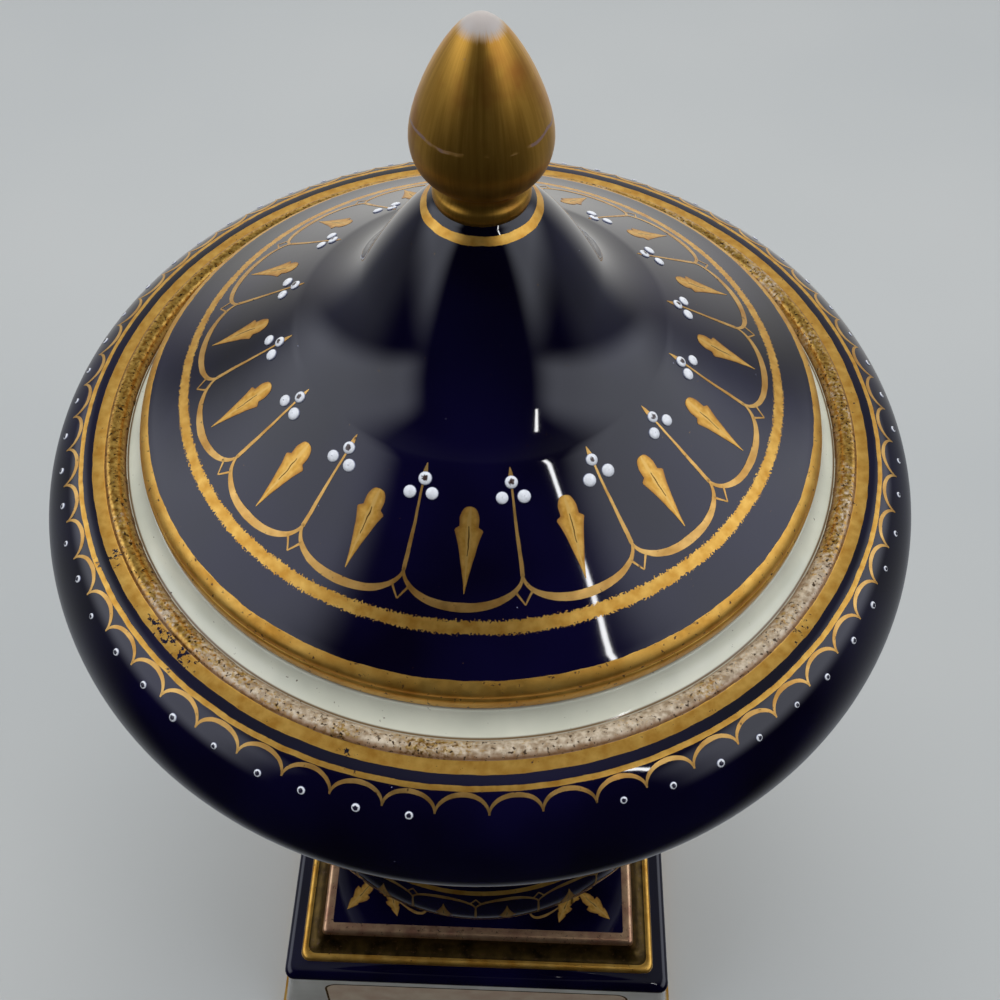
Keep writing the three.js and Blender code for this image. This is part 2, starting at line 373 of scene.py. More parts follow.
plinth_cobalt = cobalt_glaze("plinth_cobalt_glaze")
moulding_gilt = gilding("moulding_gilding", GOLD_LIGHT, GOLD_DEEP, 0.36)
fillet_gilt = gilding("rubbed_pink_gilding", "#d9b48c", "#a87a62", 0.32)
# Painted shade: the cavetto's gold is coloured near black-brown to stand for the dark surroundings its
# hollow reflects. Its small pits are wear.
cavetto_gilt_painted_dark = gilding("cavetto_gilding_painted_dark", "#5e4a22", "#241b0c", 0.36, worn=0.06)
block_white = block_glaze("block_white_glaze")
plinth_bisque = bisque("plinth_bisque")

plinth = turned("plinth_porcelain", [
    (plinth_bisque, outline((0, 56.5), (56, 56.5), (64, 47), (75.6, SLAB_BOTTOM), (80.1, 0),
                            (BASE_HALF, 0))),
    (moulding_gilt, outline((BASE_HALF, 0), (BASE_HALF, 7.5), (BASE_HALF - 1.4, 8.7))),
    (block_white, outline((BASE_HALF - 1.4, 8.7), (83.6, 27, BLOCK_HALF, SLAB_BOTTOM - 0.6),
                          (80.0, SLAB_BOTTOM))),
    (plinth_cobalt, outline((80.0, SLAB_BOTTOM), (SLAB_HALF, SLAB_BOTTOM, SLAB_HALF, 47.7),
                            (SLAB_HALF, SLAB_TOP, 78.4, SLAB_TOP), (75.5, SLAB_TOP))),
    (moulding_gilt, outline((75.5, SLAB_TOP), (75.5, 53.4, 73.4, 53.4), (72.7, 53.2))),
    (cavetto_gilt_painted_dark, outline((72.7, 53.2), (67.4, 54.0, 66.5, 59.6))),
    (fillet_gilt, outline((66.5, 59.6), (66.5, PANEL_TOP, 64.2, PANEL_TOP),
                          (PANEL_HALF, PANEL_TOP))),
    (plinth_cobalt, outline((PANEL_HALF, PANEL_TOP), (30, PANEL_TOP), (0, PANEL_TOP))),
], facets=4 * 14)
square_plan(plinth, 5, (0.008, 0.06, 0.2, 0.4, 0.6, 0.8, 0.94, 0.992),
            lambda half: min(4.0, max(0.8, 0.8 + 0.25 * (half - PANEL_HALF))))
soften(plinth, 0.25, 35)
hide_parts("plinth")
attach(plinth, "root")


# ---- Sprays on the plinth's panel ----
# In each corner of the panel a spray is painted in raised gold with a loaded brush: a three-lobed
# leaf towards the corner, and a small leaf, a lobed leaf and a tendril along each side.


def curve(*knots):
    """The line of a brush stroke in plan, in millimetres: two ends, or two ends and two handles."""
    points = [Vector(knot) for knot in knots]
    if len(points) == 2:
        return lambda t: points[0].lerp(points[1], t)

    def along(t):
        while_open = points
        while len(while_open) > 1:
            while_open = [a.lerp(b, t) for a, b in zip(while_open, while_open[1:])]
        return while_open[0]
    return along


def stroke(line, breadths, rows, finish, columns=2, hook=0.0):
    """One flat brush stroke laid along a line. breadths are (share of the length, breadth) pairs;
    hook draws the stroke's edges back along it, as the hairs of a pressed brush do."""
    bpy.ops.object.select_all(action="DESELECT")
    bpy.ops.mesh.primitive_grid_add(x_subdivisions=rows, y_subdivisions=columns, size=1)
    piece = bpy.context.object
    piece.data.materials.append(finish)
    for vertex in piece.data.vertices:
        share = vertex.co.x + 0.5
        before = [b for b in breadths if b[0] <= share + 1e-6][-1]
        after = [b for b in breadths if b[0] > share + 1e-6] or [before]
        gap = max(after[0][0] - before[0], 1e-6)
        breadth = before[1] + (after[0][1] - before[1]) * min(1, (share - before[0]) / gap)
        ahead = (line(min(1, share + 0.01)) - line(max(0, share - 0.01))).normalized()
        across = vertex.co.y * breadth
        place = line(share) + across * Vector((-ahead.y, ahead.x)) - abs(across) * hook * ahead
        vertex.co = (place * MM).to_3d()
    return piece


noise.seed_set(60)  # without a seed the waver differs from run to run


def laid_on(piece, body, height, thickness=0.06):
    """Lays flat gilding down on a glazed body from a height in millimetres, wavers it a little as
    a hand does, and gives it the thickness of fired gold."""
    for vertex in piece.data.vertices:
        spot = vertex.co / (9 * MM)
        waver = 0.22 * noise.noise_vector(spot) + 0.06 * noise.noise_vector(spot * 5)
        vertex.co += Vector((waver.x, waver.y, 0)) * MM
        vertex.co.z = height * MM
    bpy.context.view_layer.objects.active = piece
    wrap = piece.modifiers.new("laid_down", "SHRINKWRAP")
    wrap.target = body
    wrap.wrap_method = "PROJECT"
    wrap.use_project_z = True
    wrap.use_positive_direction = False
    wrap.use_negative_direction = True
    bpy.ops.object.modifier_apply(modifier=wrap.name)
    thicken(piece, thickness)


def thicken(piece, thickness):
    """Gives a laid strip its thickness, outwards, and shades it smooth."""
    skin = piece.modifiers.new("thickness", "SOLIDIFY")
    skin.thickness = thickness * MM
    skin.offset = 1
    bpy.ops.object.modifier_apply(modifier=skin.name)
    bpy.ops.object.shade_smooth_by_angle(angle=math.radians(50))


def repeated(piece, count):
    """Copies a motif round the vertical axis."""
    bpy.context.view_layer.objects.active = piece
    bpy.ops.object.mode_set(mode="EDIT")
    bpy.ops.mesh.select_all(action="SELECT")
    for _ in range(count - 1):
        bpy.ops.mesh.duplicate()
        bpy.ops.transform.rotate(value=math.tau / count, orient_axis="Z",
                                 center_override=(0, 0, 0))
    bpy.ops.object.mode_set(mode="OBJECT")
    return piece


def leaf_gilding(name):
    """Matt raised gold worked with an agate point: a dark scratched vein, a painted highlight on the
    ridges beside it and browner edges where the gold is thin. It reads the stroke's own length and
    breadth."""
    material, tree, shader, place = new_finish(name)
    laid = add_node(tree, "ShaderNodeUVMap").outputs["UV"]
    axes = add_node(tree, "ShaderNodeSeparateXYZ", {"Vector": laid})
    bend = add_node(tree, "ShaderNodeTexNoise",
                    {"Vector": place, "Scale": 1 / (3 * MM), "Detail": 2.0})
    swayed = add_node(tree, "ShaderNodeMath",
                      {0: bend.outputs["Fac"], 1: 0.16, 2: axes.outputs["Y"]},
                      operation="MULTIPLY_ADD")
    off_middle = add_node(tree, "ShaderNodeMath", {0: swayed.outputs[0], 1: 0.58},
                          operation="SUBTRACT")
    off_middle = add_node(tree, "ShaderNodeMath", {0: off_middle.outputs[0]},
                          operation="ABSOLUTE")
    colour = blended(tree, drifting(tree, place, 1.6, 0.3, 0.7, 4.0), "#c89238", "#e9b95f")
    edge = add_node(tree, "ShaderNodeMapRange",
                    {"Value": off_middle.outputs[0], "From Min": 0.3, "From Max": 0.52})
    colour = blended(tree, edge.outputs["Result"], colour, "#a87439")
    # Painted highlight: a paler band on either side of the vein.
    ridge_highlight = add_node(tree, "ShaderNodeMapRange",
                     {"Value": off_middle.outputs[0], "From Min": 0.13, "From Max": 0.07})
    colour = blended(tree, ridge_highlight.outputs["Result"], colour, "#e2b765")
    vein = add_node(tree, "ShaderNodeMath", {0: off_middle.outputs[0], 1: 0.024},
                    operation="LESS_THAN")
    within = add_node(tree, "ShaderNodeMath", {0: axes.outputs["X"], 1: 0.4, 2: 0.17},
                      operation="COMPARE")
    scratch = add_node(tree, "ShaderNodeMath", {0: vein.outputs[0], 1: within.outputs[0]},
                       operation="MULTIPLY")
    colour = blended(tree, scratch.outputs[0], colour, "#67481c")
    tree.links.new(colour, shader.inputs["Base Color"])
    shader.inputs["Metallic"].default_value = 0.9
    shader.inputs["Roughness"].default_value = 0.42
    grain = add_node(tree, "ShaderNodeTexNoise",
                     {"Vector": place, "Scale": 1 / (0.35 * MM), "Detail": 4.0})
    bump = add_node(tree, "ShaderNodeBump",
                    {"Strength": 0.5, "Distance": 0.06 * MM, "Height": grain.outputs["Fac"]})
    tree.links.new(bump.outputs["Normal"], shader.inputs["Normal"])
    return material


line_gilt = gilding("painted_line_gold", "#e0b56a", "#b98842", 0.36)
spray_gilt = leaf_gilding("spray_leaf_gold")
THREE_LOBES = ((0, 1.0), (0.08, 1.6), (0.3, 4.2), (0.42, 4.4), (0.46, 3.4), (0.5, 6.6), (0.6, 6.4),
               (0.7, 4.2), (0.74, 3.0), (0.78, 3.8), (0.88, 2.4), (1, 0.1))


def scaled(breadths, factor):
    return [(share, breadth * factor) for share, breadth in breadths]


spray = [stroke(curve((62.5, -1.5), (80, 0)), scaled(THREE_LOBES, 1.1), 40, spray_gilt, 6, 0.35)]
for side in (1, -1):
    spray.append(stroke(curve((63, side * 0.5), (64, side * 8)), scaled(THREE_LOBES, 0.55),
                        24, spray_gilt, 4, 0.35))
    spray.append(stroke(curve((62, side * 3.5), (62, side * 9), (64, side * 13), (66, side * 17)),
                        scaled(THREE_LOBES, 0.95), 36, spray_gilt, 6, 0.35))
    spray.append(stroke(curve((61.5, side * 13), (60, side * 22), (57.5, side * 26),
                              (52.5, side * 22)),
                        ((0, 0.5), (0.3, 1.1), (0.8, 0.9), (1, 1.3)), 24, line_gilt))
plinth_sprays = joined("plinth_gilt_sprays", spray)
bpy.ops.transform.rotate(value=math.radians(45), orient_axis="Z", center_override=(0, 0, 0))
bpy.ops.object.transform_apply(location=True, rotation=True, scale=True)
repeated(plinth_sprays, 4)
laid_on(plinth_sprays, plinth, PANEL_TOP + 5)
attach(plinth_sprays, "root")


# ---- Urn ----
# Thrown or slip-cast porcelain, hollow from the mouth to the floor of the bulb, standing on a
# solid stem and foot. Only the rim carries white: a sloping ledge that the lid sits inside, and
# a bead whose gilding has rubbed through. Below the rim the shoulder rolls over in cobalt.

RIM_Z = 333.0
LEDGE_RADIUS = 82.6
GROOVE_RADIUS = 87.4
BAND_RADIUS = 95.0
SHOULDER_RADIUS = 110.4
FLOOR_Z = RIM_Z - 270.2


def rubbed_bead(name):
    """Gilding rubbed thin over a raised bead: bright gold is left on the far and left sides, cream
    body shows through in fine crumbs on the near side, both with brown kiln dirt in the pits."""
    material, tree, shader, place = new_finish(name)
    axes = add_node(tree, "ShaderNodeSeparateXYZ", {"Vector": place})
    gold = blended(tree, drifting(tree, place, 1.0, 0.35, 0.65, 4.0), "#9a6c28", "#e2b75e")
    body = blended(tree, drifting(tree, place, 1.2, 0.35, 0.65, 4.0), "#8e7a60", "#c9bba4")
    front = add_node(tree, "ShaderNodeMapRange",
                     {"Value": axes.outputs["Y"], "From Min": -20 * MM, "From Max": -80 * MM,
                      "To Min": -0.16, "To Max": 0.16})
    right = add_node(tree, "ShaderNodeMapRange",
                     {"Value": axes.outputs["X"], "From Min": -60 * MM, "From Max": 70 * MM,
                      "To Min": -0.1, "To Max": 0.12})
    crumbs = add_node(tree, "ShaderNodeTexNoise",
                      {"Vector": place, "Scale": 1 / (0.9 * MM), "Detail": 5.0,
                       "Roughness": 0.7})
    patch = add_node(tree, "ShaderNodeTexNoise",
                     {"Vector": place, "Scale": 1 / (14 * MM), "Detail": 2.0})
    rubbed = add_node(tree, "ShaderNodeMath",
                      {0: patch.outputs["Fac"], 1: 0.7, 2: crumbs.outputs["Fac"]},
                      operation="MULTIPLY_ADD")
    rubbed = add_node(tree, "ShaderNodeMath",
                      {0: rubbed.outputs[0], 1: front.outputs[0]}, operation="ADD")
    rubbed = add_node(tree, "ShaderNodeMath", {0: rubbed.outputs[0], 1: right.outputs[0]},
                      operation="ADD")
    bare = add_node(tree, "ShaderNodeMapRange",
                    {"Value": rubbed.outputs[0], "From Min": 0.8, "From Max": 0.98})
    colour = blended(tree, bare.outputs["Result"], gold, body)
    # Painted shade: both flanks of the bead, where it turns down into the groove and to the band, are
    # darkened brown.
    flat = add_node(tree, "ShaderNodeVectorMath", {0: place, 1: (1, 1, 0)}, operation="MULTIPLY")
    radius = add_node(tree, "ShaderNodeVectorMath", {0: flat.outputs[0]}, operation="LENGTH")
    off = add_node(tree, "ShaderNodeMath", {0: radius.outputs["Value"], 1: 89.75 * MM},
                   operation="SUBTRACT")
    off = add_node(tree, "ShaderNodeMath", {0: off.outputs[0]}, operation="ABSOLUTE")
    flank_shade = add_node(tree, "ShaderNodeMapRange",
                     {"Value": off.outputs[0], "From Min": 1.2 * MM, "From Max": 2.1 * MM,
                      "To Max": 0.75})
    colour = blended(tree, flank_shade.outputs["Result"], colour, "#8b623c")
    dirt = drifting(tree, place, 0.8, 0.6, 0.64, 5.0)
    colour = blended(tree, dirt, colour, "#40301c")
    tree.links.new(colour, shader.inputs["Base Color"])
    metal = add_node(tree, "ShaderNodeMapRange",
                     {"Value": bare.outputs["Result"], "To Min": 0.95, "To Max": 0.1})
    tree.links.new(metal.outputs["Result"], shader.inputs["Metallic"])
    gloss = add_node(tree, "ShaderNodeMapRange", {"Value": dirt, "To Min": 0.3, "To Max": 0.6})
    tree.links.new(gloss.outputs["Result"], shader.inputs["Roughness"])
    bump = add_node(tree, "ShaderNodeBump",
                    {"Strength": 0.5, "Distance": 0.1 * MM, "Height": crumbs.outputs["Fac"]})
    tree.links.new(bump.outputs["Normal"], shader.inputs["Normal"])
    return material


def above(*pairs):
    """A run given from the rim plane, moved up to the urn's own height."""
    return tuple(v + RIM_Z if i % 2 else v for i, v in enumerate(pairs))


shoulder_cobalt = cobalt_glaze("shoulder_cobalt_glaze",
                               rings=((91.0, 95.0, 0.3), (97.2, 98.3, 0.5)),
                               wear=((-60.7, -71.1, 7), (-66.5, -64.8, 6), (-81.5, -48.3, 5),
                                     (-23.6, -93.0, 4), (71, -60, 5)))
urn_cobalt = cobalt_glaze("urn_cobalt_glaze")
ledge_white = white_glaze("ledge_white_glaze", "#d8dac8", "#c6c9b8", 0.03, 87.0)
inner_white = white_glaze("inner_white_glaze", "#dcdcd2", "#c9cac0", 0.0)
bead_gilt = rubbed_bead("rubbed_bead_gilding")
foot_bisque = bisque("foot_bisque")

wall = 4.4
urn = turned("urn_porcelain", [
    (foot_bisque, outline(above(0, -270.2), above(46, -270.2))),
    (moulding_gilt, outline(above(46, -270.2), above(50.5, -270.2), above(50.5, -265),
                            above(50.5, -261.6, 46.5, -261.4))),
    (urn_cobalt, outline(above(46.5, -261.4), above(30, -259.2, 21, -248.2, 22, -232.9))),
    (moulding_gilt, outline(above(22, -232.9), above(30, -232.9, 30, -226.5, 24.5, -226.5))),
    (urn_cobalt, outline(above(24.5, -226.5), above(52, -221.5, 78.3, -208, 78.3, -183),
                         above(78.3, -175.5, 77, -170.6, 75.2, -167.7), steps=16)),
    (moulding_gilt, outline(above(75.2, -167.7), above(74.2, -166.1))),
    (urn_cobalt, outline(above(74.2, -166.1), above(71.2, -161.6, 67, -159.5, 65.6, -157.6))),
    (moulding_gilt, outline(above(65.6, -157.6), above(64.8, -156.6, 64.2, -154.5))),
    (urn_cobalt, outline(above(64.2, -154.5), above(61.6, -126, 64, -90, 70.5, -64),
                         above(74.5, -48, 81, -40.1, 91.2, -40.1),
                         above(102.2, -40.1, SHOULDER_RADIUS, -31.5, SHOULDER_RADIUS, -20.9),
                         steps=16)),
    (shoulder_cobalt, outline(above(SHOULDER_RADIUS, -20.9),
                              above(SHOULDER_RADIUS, -9.4, 103.47, 0, BAND_RADIUS, 0),
                              above(92.1, 0.1), steps=24)),
    (bead_gilt, outline(above(92.1, 0.1), above(91.8, 1.9, 87.8, 1.6, GROOVE_RADIUS, -1.5),
                        steps=16)),
    (ledge_white, outline(above(GROOVE_RADIUS, -1.5), above(84.6, -0.6, LEDGE_RADIUS, 2.5),
                          above(76.3, 2.5), above(76.3, -3), steps=12)),
    (inner_white, outline(above(76.3, -3), above(96, -wall, 106, -9, 106, -20.9),
                          above(106, -29, 98, -35.7, 91.2, -35.7),
                          above(79, -35.7, 70.5, -46, 66.2, -64.5),
                          above(59.6, -91, 57.2, -126, 60.2, -156),
                          above(69, -162, 73.9, -170, 73.9, -183),
                          above(73.9, -206, 42, -219.5, 0, -219.5))),
], facets=240)
soften(urn, 0.2, 35)
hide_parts("urn_body")
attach(urn, "root")


# ---- Scallops and dots on the shoulder ----
# Sixty swags drawn freehand in thin gold, their points outwards, and a drop of white enamel set
# in each. Three drops have fallen off at the front.

SCALLOPS = 60
SCALLOP_TURN = 270.2
CUSP_RADIUS = 102.3
SWAG_DEPTH = 3.4


def polar(radius, degrees):
    """A point in plan at a radius and an angle."""
    return radius * Vector((math.cos(math.radians(degrees)), math.sin(math.radians(degrees))))


def swag(middle, half_turn, cusp, depth, power=2.0):
    """A swag in plan between two cusps: half_turn degrees each side of its middle, and depth
    millimetres from its cusps to its crown."""
    def along(t):
        across = math.sin((t - 0.5) * math.pi)
        bow = math.sqrt(max(0.0, 1 - abs(across) ** power))
        return polar(cusp + depth * bow, middle + half_turn * across)
    return along


def enamel(name, bare_from, crust):
    """Opaque white tin enamel fired in a drop: glossy and faintly blue, with painted shade round its
    foot. Above bare_from, a share of its height, a pinhole or the crust of a lost gilt crest shows."""
    material, tree, shader, place = new_finish(name)
    laid = add_node(tree, "ShaderNodeUVMap").outputs["UV"]
    axes = add_node(tree, "ShaderNodeSeparateXYZ", {"Vector": laid})
    fleck = add_node(tree, "ShaderNodeTexNoise",
                     {"Vector": place, "Scale": 1 / (0.5 * MM), "Detail": 3.0})
    height = add_node(tree, "ShaderNodeMath",
                      {0: fleck.outputs["Fac"], 1: 0.3, 2: axes.outputs["Y"]},
                      operation="MULTIPLY_ADD")
    colour = blended(tree, drifting(tree, place, 0.8, 0.3, 0.7, 3.0), "#e9ecf0", "#d3d6db")
    # Painted shade: the foot of each drop is darkened grey-blue.
    shaded_skirt = add_node(tree, "ShaderNodeMapRange",
                     {"Value": axes.outputs["Y"], "From Min": 0.66, "From Max": 0.58})
    colour = blended(tree, shaded_skirt.outputs["Result"], colour, "#777c93")
    bared = add_node(tree, "ShaderNodeMapRange",
                     {"Value": height.outputs[0], "From Min": bare_from + 0.12,
                      "From Max": bare_from + 0.18})
    colour = blended(tree, bared.outputs["Result"], colour, crust)
    tree.links.new(colour, shader.inputs["Base Color"])
    shader.inputs["Roughness"].default_value = 0.16
    shader.inputs["IOR"].default_value = 1.55
    return material


def enamel_drops(name, body, spots, top):
    """Stands drops of enamel on a body: spots are (place in plan, diameter, finish), and top is a
    height above the body, all in millimetres."""
    bpy.ops.object.select_all(action="DESELECT")
    bpy.ops.mesh.primitive_uv_sphere_add(segments=14, ring_count=8, radius=0.5)
    master = bpy.context.object
    bpy.ops.object.shade_smooth()
    bpy.context.view_layer.update()
    drops = []
    for spot, diameter, finish in spots:
        lift = Vector((spot.x * MM, spot.y * MM, top * MM))
        _, place, normal, _ = body.ray_cast(lift, (0, 0, -1))
        drop = master.copy()
        drop.data = master.data.copy()
        drop.data.materials.append(finish)
        bpy.context.scene.collection.objects.link(drop)
        size = Matrix.Diagonal((diameter * MM, diameter * MM, 0.42 * diameter * MM, 1))
        turn = normal.to_track_quat("Z", "Y").to_matrix().to_4x4()
        drop.matrix_world = Matrix.Translation(place) @ turn @ size
        drops.append(drop)
    bpy.data.objects.remove(master)
    return joined(name, drops)


random.seed(60)
pitch = 360 / SCALLOPS
scallops = repeated(stroke(swag(SCALLOP_TURN, pitch / 2, CUSP_RADIUS, -SWAG_DEPTH),
                           ((0, 0.35), (0.2, 0.7), (0.5, 0.95), (0.8, 0.7), (1, 0.35)),
                           22, line_gilt), SCALLOPS)
scallops.name = "shoulder_gilt_scallops"
laid_on(scallops, urn, RIM_Z + 20)
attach(scallops, "root")

pitted_enamel = enamel("pitted_enamel", 0.8, "#1c1a2c")
spots = []
for number in range(SCALLOPS):
    if number in (0, 1, 2):
        continue
    spot = polar(103.2 + random.uniform(-0.4, 0.4),
                 SCALLOP_TURN + number * pitch + random.uniform(-0.3, 0.3))
    spots.append((spot, random.uniform(1.4, 2.0), pitted_enamel))
shoulder_dots = enamel_drops("shoulder_enamel_dots", urn, spots, RIM_Z + 20)
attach(shoulder_dots, "root")


# ---- Arches on the bulb ----
# The lid's border again, smaller and upright on the bulb: gilt arches hung from a gilt ring, a
# stem under each cusp, and a leaf under each arch.

BULB_ARCHES = 22
BULB_TURN = -89.7
BULB_WRAP = 77.0
LEAF_BREADTHS = ((0, 0.3), (0.02, 1.6), (0.05, 2.6), (0.1, 3.4), (0.17, 4.1), (0.28, 3.9),
                 (0.31, 5.4), (0.34, 5.9), (0.42, 4.8), (0.5, 3.9), (0.66, 2.5), (0.85, 1.0),
                 (1, 0.15))

bulb_pitch = math.tau * BULB_WRAP / BULB_ARCHES
leaf_gilt = leaf_gilding("leaf_gold")


def hung(x, depth):
    """A point on the unrolled bulb: x millimetres round it, depth below the gilt ring."""
    return Vector((x, -168.5 - depth))


def hung_arch(t):
    across = math.sin((t - 0.5) * math.pi)
    bow = math.sqrt(max(0.0, 1 - abs(across) ** 2.2))
    return hung((0.5 + across / 2) * bulb_pitch, 6.2 - 5 * bow)


motif = [
    stroke(hung_arch, ((0, 0.5), (0.2, 0.8), (0.5, 1.4), (0.8, 0.8), (1, 0.5)), 30, line_gilt),
    stroke(curve(hung(0, 6), hung(0, 16)), ((0, 0.5), (1, 0.9)), 12, line_gilt),
    stroke(curve(hung(-2.2, 3.4), hung(0, 0.8)), ((0, 0.6), (1, 0.4)), 6, line_gilt),
    stroke(curve(hung(2.2, 3.4), hung(0, 0.8)), ((0, 0.6), (1, 0.4)), 6, line_gilt),
    stroke(curve(hung(bulb_pitch / 2, 18), hung(bulb_pitch / 2, 5)), LEAF_BREADTHS, 36,
           leaf_gilt, 4, 0.3),
]
bulb_arches = joined("bulb_gilt_arches", motif)
for number in range(1, BULB_ARCHES):
    bpy.ops.object.mode_set(mode="EDIT")
    if number == 1:
        bpy.ops.mesh.select_all(action="SELECT")
    bpy.ops.mesh.duplicate()
    bpy.ops.transform.translate(value=(bulb_pitch * MM, 0, 0))
    bpy.ops.object.mode_set(mode="OBJECT")
for vertex in bulb_arches.data.vertices:
    waver = 0.25 * noise.noise_vector(vertex.co / (9 * MM))
    turn = math.radians(BULB_TURN) + (vertex.co.x / MM + waver.x) / BULB_WRAP
    wrapped = polar(BULB_WRAP + 12, math.degrees(turn))
    vertex.co = Vector((wrapped.x, wrapped.y, RIM_Z + vertex.co.y / MM + waver.y)) * MM
bpy.ops.object.mode_set(mode="EDIT")
bpy.ops.mesh.select_all(action="SELECT")
bpy.ops.object.mode_set(mode="OBJECT")
wrap = bulb_arches.modifiers.new("laid_down", "SHRINKWRAP")
wrap.target = urn
wrap.wrap_method = "PROJECT"
wrap.use_positive_direction = False
wrap.use_negative_direction = True
bpy.ops.object.modifier_apply(modifier=wrap.name)
thicken(bulb_arches, 0.06)
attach(bulb_arches, "root")


# ---- Lid ----
# One moulded piece that drops into the ledge: a shell that rises in an ogee to a collar and a
# bud finial, with a flange inside the mouth. Cobalt glaze, a stippled gilt ring, a gilt edge
# creased by the mould, and a finial gilded all over and worn white at its tip.


def bud_gilding(name):
    """Gold laid over the bud and rubbed lengthwise: vertical streaks, a bare white tip, a pale
    worn line round the belly and a few rubbed spots."""
    material, tree, shader, place = new_finish(name)
    axes = add_node(tree, "ShaderNodeSeparateXYZ", {"Vector": place})
    turn = add_node(tree, "ShaderNodeMath", {0: axes.outputs["Y"], 1: axes.outputs["X"]},
                    operation="ARCTAN2")
    unrolled = add_node(tree, "ShaderNodeCombineXYZ",
                        {"X": turn.outputs[0], "Z": axes.outputs["Z"]})
    stretched = add_node(tree, "ShaderNodeVectorMath",
                         {0: unrolled.outputs[0], 1: (14, 1, 60)}, operation="MULTIPLY")
    streak = add_node(tree, "ShaderNodeTexNoise",
                      {"Vector": stretched.outputs[0], "Scale": 1.0, "Detail": 6.0,
                       "Roughness": 0.65})
    tone = add_node(tree, "ShaderNodeMapRange",
                    {"Value": streak.outputs["Fac"], "From Min": 0.25, "From Max": 0.75})
    colour = blended(tree, tone.outputs["Result"], "#b07f2c", "#d8a74a")
    rust = drifting(tree, place, 9, 0.52, 0.75, 3.0)
    colour = blended(tree, rust, colour, "#b07430")
    line_wave = add_node(tree, "ShaderNodeTexNoise",
                         {"Vector": place, "Scale": 1 / (12 * MM), "Detail": 2.0})
    line_z = add_node(tree, "ShaderNodeMath",
                      {0: line_wave.outputs["Fac"], 1: 5 * MM, 2: axes.outputs["Z"]},
                      operation="MULTIPLY_ADD")
    line = add_node(tree, "ShaderNodeMath",
                    {0: line_z.outputs[0], 1: (RIM_Z + 86.5) * MM, 2: 0.3 * MM},
                    operation="COMPARE")
    thin = add_node(tree, "ShaderNodeMath",
                    {0: line.outputs[0], 1: drifting(tree, place, 6, 0.45, 0.55)},
                    operation="MULTIPLY")
    spots = drifting(tree, place, 5, 0.76, 0.79, 2.0)
    rubbed = add_node(tree, "ShaderNodeMath", {0: thin.outputs[0], 1: spots},
                      operation="MAXIMUM")
    colour = blended(tree, rubbed.outputs[0], colour, "#86695c")
    ragged = add_node(tree, "ShaderNodeMath",
                      {0: streak.outputs["Fac"], 1: 3 * MM, 2: axes.outputs["Z"]},
                      operation="MULTIPLY_ADD")
    tip = add_node(tree, "ShaderNodeMapRange",
                   {"Value": ragged.outputs[0], "From Min": (RIM_Z + 101.9) * MM,
                    "From Max": (RIM_Z + 103.3) * MM})
    colour = blended(tree, tip.outputs["Result"], colour, "#b3aba5")
    tree.links.new(colour, shader.inputs["Base Color"])
    bare = add_node(tree, "ShaderNodeMath",
                    {0: rubbed.outputs[0], 1: tip.outputs["Result"]}, operation="MAXIMUM")
    metal = add_node(tree, "ShaderNodeMath", {0: 0.9, 1: bare.outputs[0]},
                     operation="SUBTRACT")
    tree.links.new(metal.outputs[0], shader.inputs["Metallic"])
    gloss = add_node(tree, "ShaderNodeMapRange",
                     {"Value": streak.outputs["Fac"], "To Min": 0.3, "To Max": 0.45})
    tree.links.new(gloss.outputs["Result"], shader.inputs["Roughness"])
    bump = add_node(tree, "ShaderNodeBump",
                    {"Strength": 0.25, "Distance": 0.08 * MM, "Height": streak.outputs["Fac"]})
    tree.links.new(bump.outputs["Normal"], shader.inputs["Normal"])
    return material


lid_cobalt = cobalt_glaze("lid_cobalt_glaze",
                          rings=((11.1, 12.5, 0.6), (68.9, 71.3, 1.8), (79.4, 81.0, 0.3)))
lid_white = white_glaze("lid_underside_glaze", "#d9d8cc", "#c6c6ba", 0.0)
edge_gilt = gilding("lid_edge_gilding", GOLD_LIGHT, GOLD_DEEP, 0.4, worn=0.02)
bud_gilt = bud_gilding("bud_gilding")

lid = turned("lid_porcelain", [
    (lid_white, outline(above(0, 59.4), above(10, 59.4, 17.5, 51, 22, 42.6),
                        above(26, 35, 32, 30.2, 39.5, 27.2),
                        above(49, 22.4, 63, 12.6, 71.8, 8), above(71.8, -4.2),
                        above(75.3, -4.2), above(75.3, 2.8), above(81.4, 2.8))),
    (edge_gilt, outline(above(81.4, 2.8), above(82.2, 2.8, 82.4, 3.6), above(82.4, 5.4),
                        above(82.4, 6.4, 81.9, 6.7), above(82.2, 8.4, 79.5, 9.8), steps=8)),
    (lid_cobalt, outline(above(79.5, 9.8), above(68, 15.2, 52, 25.6, 42, 31.6),
                         above(36.5, 34.1, 30.5, 37.4, 26, 44.8),
                         above(22, 51.4, 15, 61.6, 9.6, 65.4), steps=24)),
    (bud_gilt, outline(above(9.6, 65.4), above(10.3, 66.8, 9.6, 68.0), above(8.4, 69.4, 9.1, 70.8),
                       above(9.8, 70.9, 9.7, 71.4), above(9.3, 71.6),
                       above(12.5, 72.2, 13.9, 76.1, 13.9, 79.3),
                       above(13.9, 86.5, 5.4, 103.3, 0, 103.3), steps=16)),
], facets=240)
soften(lid, 0.2, 35)
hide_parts("lid")
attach(lid, "root")


# ---- Arches, leaves and enamel on the lid ----
# Sixteen gilt arches spring from cusps with a diamond under each; a stem rises from every cusp to
# three enamel drops, and a leaf stands in each arch. The top drops carried a gilt crest that has
# worn to brown crust.

LID_ARCHES = 16
LID_CUSP_TURN = -80.05
LID_CUSP_RADIUS = 61.0
lid_pitch = 360 / LID_ARCHES
arch_turn = LID_CUSP_TURN - lid_pitch / 2


def beside(radius, degrees, sideways):
    """A point in plan at a radius and angle, moved sideways by millimetres."""
    return polar(radius, degrees) + polar(sideways, degrees + 90)


